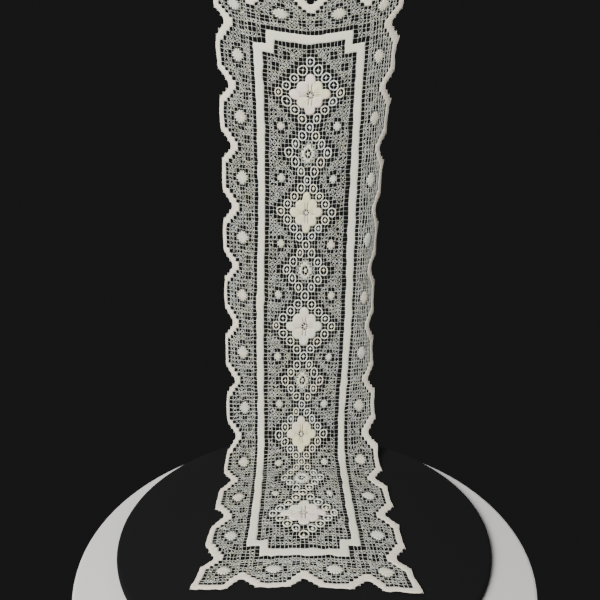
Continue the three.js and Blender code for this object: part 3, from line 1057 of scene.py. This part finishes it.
class LACE_OT_ground(Operator):
    """Knot the ground net and darn its cloth stitch: the stepped frame band and the scalloped edge"""

    bl_idname = "lace.ground"
    bl_label = "Net and cloth stitch"

    def execute(self, context):
        """Strands are four-sided tubes along the net's lines, those along a little over the middle surface
        and those across a little under it. Their widths vary at random, and are less under loop stitch and in
        the rolled border. Where the cloth lies all are shallower, those along wider and those across
        thinner."""
        sizes = context.scene.lace_net
        shape = Shape()
        draw = np.random.default_rng(5)
        for lines_along in (True, False):
            cell, row, keep = net_strands(lines_along)
            tone = draw.uniform(-0.1, 0.25, len(cell))
            buried = in_filling(cell, row)
            wide = sizes.strand * finer_in_border(cell) * (1 - BURIED_THINNER * buried)
            wide = wide * draw.uniform(0.8, 1.2, cell.shape)
            wide = wide * (1 + LYING_WIDER[lines_along] * lying(row))
            wide = wide * (1 - ROLLED_THINNER * rolled(cell, row))
            wide = wide * (1 - buried * lying(row) * draw.uniform(0, 0.8, cell.shape))
            deep = sizes.strand_depth * (1 - ROLLED_SHALLOWER * rolled(cell, row))
            deep = deep * (HANGING_DEPTH[lines_along] - LYING_SHALLOWER[lines_along] * lying(row))
            lattice = (np.abs(cell) < PANEL_CELLS) * (1 - buried) * (1 - lying(row))
            # Painted shade on the strands: some everywhere, more in the open lattice, under loop stitch and
            # towards the right.
            tube_painted_shade = STRAND_PAINTED_SHADE + LATTICE_PAINTED_SHADE * lattice + BURIED_PAINTED_SHADE * buried + painted_shade_at_right(cell)
            strands = place(cell, row, OVER if lines_along else -OVER)
            add_tubes(shape, strands, wide, deep, sides=4, closed=False, keep=keep, tone=tone, tube_painted_shade=tube_painted_shade)
        stitched_cells(shape, CHART["band"], sizes.cloth, rounds=1, tone=0.3, slot=1)
        stitched_cells(shape, CHART["edge"], sizes.cloth, rounds=2, outer_rounds=OUTLINE_ROUNDS, slot=1)
        finish_piece(shape, "ground_net", "ply", "weave")
        return {"FINISHED"}


def in_filling(cell, row):
    """1 at the knots whose four meshes are all filled with loop stitch, else 0."""
    filled = loop_quarters().all(-1)
    return filled[(cell + HALF_CELLS).astype(int), (row + HALF_ROWS).astype(int)].astype(float)


def painted_shade_at_right(cell):
    """Painted shade: 0 in the middle, rising to its full share at the right band, as the light falls from the
    left.
    """
    return RIGHT_PAINTED_SHADE * smooth(cell / PANEL_CELLS)


def finer_in_border(cell):
    """1 in the panel, falling to 0.88 in the border, where the meshes are narrower."""
    return 1 - 0.12 * smooth((np.abs(cell) - PANEL_CELLS) / 2)


class LACE_OT_knots(Operator):
    """Tie the knots: a small rounded lump where the strands cross"""

    bl_idname = "lace.knots"
    bl_label = "Knots"

    def execute(self, context):
        """Each knot is two low cones base to base, with eight points round, turned and sized at random."""
        cell, row = knot_places()
        draw = np.random.default_rng(8)
        points, normals = place(cell, row, 0)
        size = context.scene.lace_net.knot * finer_in_border(cell) * draw.uniform(0.85, 1.15, len(cell))
        size = size * (1 - in_filling(cell, row) * draw.uniform(-0.45, 0.6, len(cell)))
        size = size * (1 - 0.3 * lying(row))
        across = np.cross(normals, (0.0, 0.6, 0.8))
        across = across / np.linalg.norm(across, axis=1, keepdims=True)
        upward = np.cross(normals, across)
        sides = 8
        angle = draw.uniform(0, math.pi, len(cell))[:, None] + full_turn(sides)
        ring = np.cos(angle)[..., None] * across[:, None] + np.sin(angle)[..., None] * upward[:, None]
        tips = normals[:, None] * np.array([-KNOT_HEIGHT, KNOT_HEIGHT])[:, None]
        lumps = points[:, None] + np.concatenate([ring, tips], 1) * size[:, None, None] * MM
        here = np.arange(sides)
        after = (here + 1) % sides
        front = np.stack([here, after, np.full(sides, sides + 1)], 1)
        back = np.stack([after, here, np.full(sides, sides)], 1)
        faces = np.arange(len(cell))[:, None, None] * (sides + 2) + np.concatenate([front, back])
        flat = np.stack([here, 0 * here], 1) / 4
        corners = np.tile(np.stack([flat, flat + (0.25, 0), flat + (0.12, 0.5)], 1), (2 * len(cell), 1, 1))
        shape = Shape()
        # The knots get the strands' painted shade.
        shape.add(lumps, [(faces.reshape(-1, 3), corners)], 0.05, hollow=STRAND_PAINTED_SHADE)
        finish_piece(shape, "net_knots", "ply")
        return {"FINISHED"}


class LACE_OT_filling(Operator):
    """Fill the ground with loop stitch: rings of thread round the knots, meeting over and under the bars"""

    bl_idname = "lace.filling"
    bl_label = "Loop-stitch filling"

    def execute(self, context):
        """A ring goes round each knot that has a filled mesh beside it, in its filled quarters only. The
        upper, middle and lower rows are a piece each."""
        loops = loop_quarters()
        i, j = np.nonzero(loops.any(-1))
        cell, row = i - float(HALF_CELLS), j - float(HALF_ROWS)
        end = FILLING_MIDDLE_ROWS
        parts = (("upper", row < -end), ("middle", np.abs(row) <= end), ("lower", row > end))
        for name, here in parts:
            self.fill(context, "filling_" + name, cell[here], row[here], loops[i[here], j[here]])
        return {"FINISHED"}

    def fill(self, context, name, cell, row, filled):
        """A ring's radius is half a cell at the bars and a little less between them, slack and oval at
        random; its height swings with twice the angle, up and down in turn from knot to knot."""
        sizes = context.scene.lace_net
        steps = 12
        draw = np.random.default_rng(len(cell))

        def vary(low, high):
            """A random number for each ring."""
            return draw.uniform(low, high, (len(cell), 1))

        angle = full_turn(steps)[None]
        radius = LOOP_RADIUS + LOOP_REACH * np.cos(4 * angle)
        radius = radius + vary(-0.11, 0.06) + vary(0, 0.07) * np.cos(2 * angle + vary(0, 6))
        radius = radius + vary(0, 0.06) * np.cos(3 * angle + vary(0, 6))
        parity = np.where((cell + row) % 2 > 0, 1.0, -1.0)[:, None]
        lift = parity * (0.6 - 0.35 * lying(row[:, None])) * np.cos(2 * angle)
        across = cell[:, None] + radius * np.cos(angle) + vary(-0.08, 0.08)
        along = row[:, None] + radius * np.sin(angle) + vary(-0.08, 0.08)
        tone = draw.uniform(-0.1, 0.35, len(cell))
        wide = vary(0.6, 1.8) + vary(0, 0.7) * np.sin(3 * angle + vary(0, 6))
        wide = 1.25 * (sizes.loop * finer_in_border(across) * wide) * (1 - 0.5 * rolled(across, along))
        wide = wide * (1 + lying(along) * (0.35 * np.cos(angle) ** 2 - 0.55 * np.sin(angle) ** 2))
        keep = np.repeat(filled, steps // 4, axis=-1)
        # Painted shade: a little at random from loop to loop, as if some lay in shadow, and more towards the
        # right.
        tube_painted_shade = draw.uniform(0.0, 0.05, len(cell)) + painted_shade_at_right(cell)
        shape = Shape()
        rings = place(across, along, lift)
        add_tubes(
            shape, rings, wide, sizes.loop, sides=4, closed=True, keep=keep, tone=tone, length=0.25, tube_painted_shade=tube_painted_shade
        )
        finish_piece(shape, name, "ply")


class LACE_OT_wheels(Operator):
    """Work the wheels: a rim darned round a knot, with a raised button in its middle"""

    bl_idname = "lace.wheels"
    bl_label = "Wheels"

    def execute(self, context):
        """A rim is a closed tube round its knot and a button a low dome. Their sizes and tones vary a little
        from wheel to wheel."""
        sizes = context.scene.lace_motifs
        middles = np.array(wheel_places(), float)
        draw = np.random.default_rng(12)
        radius = sizes.wheel * draw.uniform(0.95, 1.05, len(middles))
        tone = draw.uniform(0.0, 0.5, len(middles))
        shape = Shape()
        width = sizes.wheel_thread
        add_rings(shape, middles, radius, width, half_height=1.1, steps=20, lift=0.9, tone=tone)
        radius = 0.36 * draw.uniform(0.75, 1.2, len(middles))
        add_buttons(shape, middles, radius, height=1.2, tone=tone)
        finish_piece(shape, "wheels", "satin")
        return {"FINISHED"}


def flower_outline(angle):
    """Distance from a flower's middle to its rim: the farthest of two crossed bars with round ends and four
    discs between them, with the notches eased by a moving mean."""
    c, s = np.abs(np.cos(angle)), np.abs(np.sin(angle))

    def from_disc(away, along, across, size):
        """Distance to the far side of a disc: to its middle's foot on the ray, plus the root of size^2 less
        the square of the middle's distance from the ray."""
        return away * along + np.sqrt(np.maximum(size**2 - (away * across) ** 2, 0))

    def bar(along, across):
        """Distance to the rim of a bar with a round end: to its straight side, or to the disc at its end
        where the ray would meet the side past that disc's middle."""
        side = PETAL_HALF_WIDTH / np.maximum(across, 1e-6)
        straight = PETAL_REACH - PETAL_HALF_WIDTH
        tip = from_disc(straight, along, across, PETAL_HALF_WIDTH)
        return np.where(side * along < straight, side, tip)

    root = math.sqrt(2)
    disc = from_disc(SHORT_PETAL_AT * root, (c + s) / root, (c - s) / root, SHORT_PETAL_SIZE)
    return eased(np.max([bar(c, s), bar(s, c), disc], axis=0), 3)


class LACE_OT_flowers(Operator):
    """Work the five raised flowers: four long petals and four short ones round an open middle"""

    bl_idname = "lace.flowers"
    bl_label = "Raised flowers"

    def execute(self, context):
        """The petals of all five are one piece. What fills their open middles, a button and seven bars, is
        another."""
        shape = Shape()
        draw = np.random.default_rng(3)
        for row in FLOWER_ROWS:
            self.add_flower(context, shape, row, draw)
        finish_piece(shape, "flowers", "satin")
        centres = Shape()
        middles = np.array([(0, row) for row in FLOWER_ROWS], float)
        add_buttons(centres, middles, radius=0.4, height=1.4, tone=0.2)
        add_spokes(centres, middles, spokes=7, start=0.3, end=1.05, half_width=0.55, lift=0.9)
        finish_piece(centres, "flower_middles", "ply")
        return {"FINISHED"}

    def add_flower(self, context, shape, middle_row, draw):
        """One sheet in rings from the open middle to the rim, then back underneath. The slits between petals
        start side by side near the middle and swing out to the notches. Each petal is crowned between its
        slits, and the side petals have a seam down their middles. Slits and seams are cut in and also
        darkened with painted shade."""
        turns, front_rings, back_rings = 240, 14, 5
        angle = full_turn(turns)[:, None] + math.pi / turns
        rim = flower_outline(angle[:, 0])[:, None] * (1 + 0.015 * np.sin(3 * angle + draw.uniform(0, 6)))
        t = np.linspace(0, 1, front_rings)
        radius = FLOWER_OPENING + (rim - FLOWER_OPENING) * t
        x, y = radius * np.cos(angle), radius * np.sin(angle)
        major, minor = np.maximum(np.abs(x), np.abs(y)), np.minimum(np.abs(x), np.abs(y))
        sideways = np.abs(x) > np.abs(y)
        slit_at = SLIT_START + SLIT_SWING * smooth((major - 2.6) / 1.4)
        fade = 1 - smooth((major - 2.3) / 0.6)
        slit = np.exp(-(((minor - slit_at) / SLIT_WIDTH) ** 2)) * fade * np.where(sideways, SIDE_SLIT, 1.0)
        seam = SIDE_SEAM * np.exp(-((minor / SEAM_WIDTH) ** 2)) * fade * sideways
        long_petal = minor < slit_at
        short_share = (major - minor) / np.maximum(major - slit_at, 0.2)
        share = np.clip(np.where(long_petal, minor / slit_at, short_share), 0, 1)
        crown = 1 - (1 - np.sqrt(1 - PETAL_CROWN * share**2)) * fade
        rounding = np.sqrt(np.clip(1 - (2 * t - 1) ** 6, 0, 1))
        height = context.scene.lace_motifs.petal_height
        # Slits and seams: how deep they are cut, and how much painted shade darkens them.
        hollow = np.maximum(slit, seam)
        front = height * crown * rounding * (1 - PETAL_SLIT_DEPTH * hollow) + 0.25
        middle_tone, rise_of_tone, painted_shade_here = FLOWER_THREADS[FLOWER_ROWS.index(middle_row)]
        tone = middle_tone + rise_of_tone * x / PETAL_REACH
        tone = tone + 0.12 * np.sin(0.5 * x + 0.7 * y + draw.uniform(0, 6))
        # Painted shade of this flower's thread, as less light falls on it.
        hollow = np.maximum(hollow, painted_shade_here)
        thread_across = np.where(long_petal, minor, (major - minor) / math.sqrt(2)) * 5
        back = FLOWER_OPENING + (rim - FLOWER_OPENING) * np.linspace(1, 0, back_rings + 2)[1:-1]

        def with_back(front, back):
            """Values on the front's rings, then those on the rings underneath."""
            return np.concatenate([front, np.broadcast_to(back, (turns, back_rings))], 1)

        radius = with_back(radius, back)
        flat = lying(middle_row)
        cell = radius * np.cos(angle) * (1 + LYING_FLOWER[0] * flat)
        row = middle_row + radius * np.sin(angle) * (1 + LYING_FLOWER[1] * flat)
        points, _ = place(cell, row, with_back(front, FLOWER_UNDERSIDE))
        faces, _ = wrapped_grid(1, turns, front_rings + back_rings, True, True)
        texture = np.stack([radius, with_back(thread_across, back * 4)], -1).reshape(-1, 2)
        faces = faces[:, ::-1]
        shape.add(points, [(faces, texture[faces])], with_back(tone, 0.5), hollow=with_back(hollow, 0.0))


class LACE_OT_stars(Operator):
    """Work the stars: medallions between the flowers, large stars in the scallops, small stars in the
    panel"""

    bl_idname = "lace.stars"
    bl_label = "Stars"

    def execute(self, context):
        """The medallions, the border's stars and the panel's small ones are a piece each, and each star has
        its own tone."""
        draw = np.random.default_rng(21)
        self.medallions(context, draw)
        for name, places, reach, between, points_round in (
            ("border_stars", BORDER_STARS, (2.1, 1.75), 0.93, 12),
            ("small_stars", SMALL_STARS, (1.15, 1.1), 0.98, 8),
        ):
            middles = np.array(places, float)
            shape = Shape()
            tone = draw.uniform(0.1, 0.5, len(middles))
            add_rosettes(shape, middles, reach, between, points_round, height=1.5, tone=tone)
            finish_piece(shape, name, "satin")
        return {"FINISHED"}

    def medallions(self, context, draw):
        """Four darned lobes round an open middle with a button, and a small ring at each corner."""
        middles = np.array([(0, row) for row in MEDALLION_ROWS], float)
        shape = Shape()
        tone = draw.uniform(0.1, 0.35, len(middles))
        flat = lying(middles[:, 1])
        reach = (2.4 + 0.4 * flat, 2.4 + 0.05 * flat)
        add_rosettes(
            shape, middles, reach, between=0.85, points_round=12, height=1.3, tone=tone, opening=0.5
        )
        add_rings(
            shape, middles, 1.3 + 0.2 * flat, half_width=0.6, half_height=0.9, steps=24, lift=0.9, tone=tone
        )
        signs = (-1, 1)
        corners = [(1.5 * a, row + 1.5 * b) for row in MEDALLION_ROWS for a in signs for b in signs]
        add_rings(
            shape,
            np.array(corners),
            radius=0.4,
            half_width=0.5,
            half_height=0.6,
            steps=12,
            lift=0.3,
            tone=0.4,
            ridges=2,
        )
        add_buttons(shape, middles, radius=0.46 - 0.08 * flat, height=1.3 - 0.8 * flat, tone=tone)
        add_spokes(shape, middles, spokes=5, start=0.35, end=1.15, half_width=0.4)
        finish_piece(shape, "star_medallions", "satin")


class LACE_OT_edge_cord(Operator):
    """Oversew the rim: a firm cord of buttonhole stitches along the scallops"""

    bl_idname = "lace.edge_cord"
    bl_label = "Edge cord"

    def execute(self, context):
        """A tube along the outline, swelling and thinning a little with each stitched mesh."""
        cell, row = outline_path(2 + OUTLINE_ROUNDS)
        size = context.scene.lace_motifs.edge
        beat = 1 + 0.14 * np.sin(2 * math.pi * np.arange(len(cell)) / CLOTH_PARTS)[None]
        shape = Shape()
        outline = place(cell[None], row[None], 0.0)
        add_tubes(shape, outline, size * beat, 1.2 * size, sides=6, closed=True, length=1 / CLOTH_PARTS)
        finish_piece(shape, "edge_cord", "buttonhole")
        return {"FINISHED"}


# ---- stage ----

FLOOR_MIDDLE = (-0.014, -0.262)  # metres, under the middle of the lying end
STAGE_GAP = 0.0004  # between the runner and the board
BOARD_THICKNESS = 0.01
FLOOR_THICKNESS = 0.018
FILM_WIDTH = 36  # millimetres
CAMERA_FOCUS = 38.45  # millimetres
CAMERA_PLACE = (-0.01735, -1.0813, -0.1539)
CAMERA_PITCH = 16.77  # degrees down
CAMERA_ROLL = -0.41  # degrees


class LACE_OT_stage(Operator):
    """Set the stage: a pale floor, a dark board on it under the lying end, soft lights and a camera"""

    bl_idname = "lace.stage"
    bl_label = "Stage"

    def execute(self, context):
        """The board's top is just under the runner's lowest point, and the floor's top at the board's
        underside. The floor's middle is nearer the viewer by the difference of the two radii, so their rims
        meet behind."""
        look = context.scene.lace_stage
        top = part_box(NODE)[0].z - STAGE_GAP
        middle = FLOOR_MIDDLE[1]
        self.disc("dark_board", middle, look.board_radius, top, BOARD_THICKNESS, look.board_colour)
        middle -= look.floor_radius - look.board_radius
        top -= BOARD_THICKNESS
        self.disc("pale_floor", middle, look.floor_radius, top, FLOOR_THICKNESS, look.floor_colour)
        self.lights(context, look)
        self.camera(context)
        return {"FINISHED"}

    def disc(self, name, middle_y, radius, top, thickness, colour):
        """A round slab with an eased upper edge: rings of points from the upper face over the rim to the
        lower one."""
        turns = 96
        ring = radius - np.array([0.004, 0.001, 0.0, 0.0, 0.004])
        depth = np.array([0.0, 0.001, 0.004, thickness - 0.004, thickness])
        x, y = around(np.array([(FLOOR_MIDDLE[0], middle_y)]), ring[:, None], full_turn(turns))
        z = np.broadcast_to((top - depth)[:, None], x.shape)
        faces, corners = wrapped_grid(1, len(ring), turns, False, True)
        shape = Shape()
        sides = (faces[:, ::-1], corners[:, ::-1])
        shape.add(np.stack([x, y, z], -1), [sides, end_caps(1, len(ring), turns, 1)])
        paint = Paint(name)
        paint.fill(paint.shader, {"Base Color": (*colour, 1), "Roughness": 1.0, "Specular IOR Level": 0.1})
        shape.build(name, [paint.material], shade_smooth=False)

    def lights(self, context, look):
        """Soft boxes: a broad one from the upper left in front, a weak one from the right, two faint ones
        behind, and a dim surround."""
        world = bpy.data.worlds.new("studio")
        world.use_nodes = True
        grey = look.backdrop
        world.node_tree.nodes["Background"].inputs["Color"].default_value = (grey, grey, grey * 1.05, 1)
        context.scene.world = world
        for name, power, size, spot, aim_height in (
            ("key_light", look.key_power, 1.3, (-1.15, -1.6, 0.7), -0.35),
            ("fill_light", look.fill_power, 1.0, (1.3, -1.0, -0.1), -0.4),
            ("back_light_left", look.back_power, 1.0, (-1.1, 1.2, 0.2), -0.35),
            ("back_light_right", look.back_power, 1.0, (1.1, 1.2, 0.2), -0.35),
        ):
            data = bpy.data.lights.new(name, "AREA")
            data.energy = power
            data.size = size
            lamp = bpy.data.objects.new(name, data)
            lamp.matrix_world = looking_along(spot, np.array((0, 0, aim_height)) - spot, 0.0)
            lamp.visible_camera = False
            context.scene.collection.objects.link(lamp)

    def camera(self, context):
        """In front of the hanging cloth, pitched down to take in the lying end."""
        data = bpy.data.cameras.new("camera")
        data.lens = CAMERA_FOCUS
        data.sensor_width = FILM_WIDTH
        camera = bpy.data.objects.new("camera", data)
        pitch = math.radians(CAMERA_PITCH)
        camera.matrix_world = looking_along(CAMERA_PLACE, (0, math.cos(pitch), -math.sin(pitch)), CAMERA_ROLL)
        context.scene.collection.objects.link(camera)
        context.scene.camera = camera


def looking_along(spot, direction, roll):
    """The pose at spot whose -Z looks along direction, with +Y as near up as it can be, then rolled in
    degrees."""
    forward = np.asarray(direction, float) / np.linalg.norm(direction)
    right = np.cross(forward, (0, 0, 1.0))
    right = right / np.linalg.norm(right)
    up = np.cross(right, forward)
    a = math.radians(roll)
    side = math.cos(a) * right + math.sin(a) * up
    top = -math.sin(a) * right + math.cos(a) * up
    pose = np.identity(4)
    pose[:3] = np.stack([side, top, -forward, spot], 1)
    return Matrix(pose.tolist())


# ---- add-on ----

PIECE_OPERATORS = (
    LACE_OT_ground,
    LACE_OT_knots,
    LACE_OT_filling,
    LACE_OT_wheels,
    LACE_OT_flowers,
    LACE_OT_stars,
    LACE_OT_edge_cord,
    LACE_OT_stage,
)


class LACE_PT_panel(Panel):
    """Lists the runner's settings and the operators that build it"""

    bl_idname = "LACE_PT_panel"
    bl_label = "Filet lace runner"
    bl_space_type = "VIEW_3D"
    bl_region_type = "UI"
    bl_category = "Lace"

    def draw(self, context):
        for group, settings in GROUPS.items():
            box = self.layout.box()
            for name in settings.__annotations__:
                box.prop(getattr(context.scene, group), name)
        for operator in PIECE_OPERATORS:
            self.layout.operator(operator.bl_idname)


GROUPS = {"lace_net": LaceNet, "lace_motifs": LaceMotifs, "lace_look": LaceLook, "lace_stage": LaceStage}
CLASSES = (*GROUPS.values(), *PIECE_OPERATORS, LACE_PT_panel)


def register():
    """Makes the classes known to Blender and hangs the settings on its scene."""
    for cls in CLASSES:
        bpy.utils.register_class(cls)
    for name, group in GROUPS.items():
        setattr(bpy.types.Scene, name, PointerProperty(type=group))


def unregister():
    """Takes them away again."""
    for name in GROUPS:
        delattr(bpy.types.Scene, name)
    for cls in reversed(CLASSES):
        bpy.utils.unregister_class(cls)


def main():
    register()
    for operator in PIECE_OPERATORS:
        group, name = operator.bl_idname.split(".")
        getattr(getattr(bpy.ops, group), name)()


if __name__ == "__main__":
    main()
